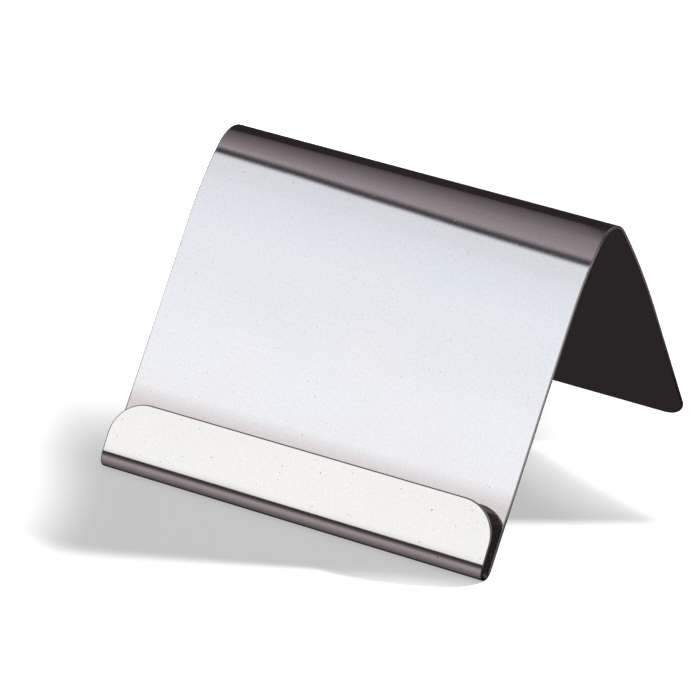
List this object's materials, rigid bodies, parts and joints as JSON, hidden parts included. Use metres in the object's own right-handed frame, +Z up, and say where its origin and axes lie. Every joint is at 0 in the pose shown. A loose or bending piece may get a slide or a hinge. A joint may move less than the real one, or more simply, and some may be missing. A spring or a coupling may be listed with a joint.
{
  "type": "place card holder",
  "caption": "Place card holder bent from one polished steel sheet, with a low front lip forming a card slot and a sloping rear leg.",
  "frame": {"origin": "on the table, at the middle of the bounding box's bottom face, under the middle of the holder", "axes": "+X along the bends, to the right of someone reading the card; -Y towards the reader, on the lip's side; +Z up"},
  "size_m": [0.09, 0.0934, 0.0605],
  "materials": {
    "polished_steel": "polished, with a faint satin haze"
  },
  "bodies": {
    "root": {"bent_sheet": "polished_steel"}
  },
  "joints": []
}
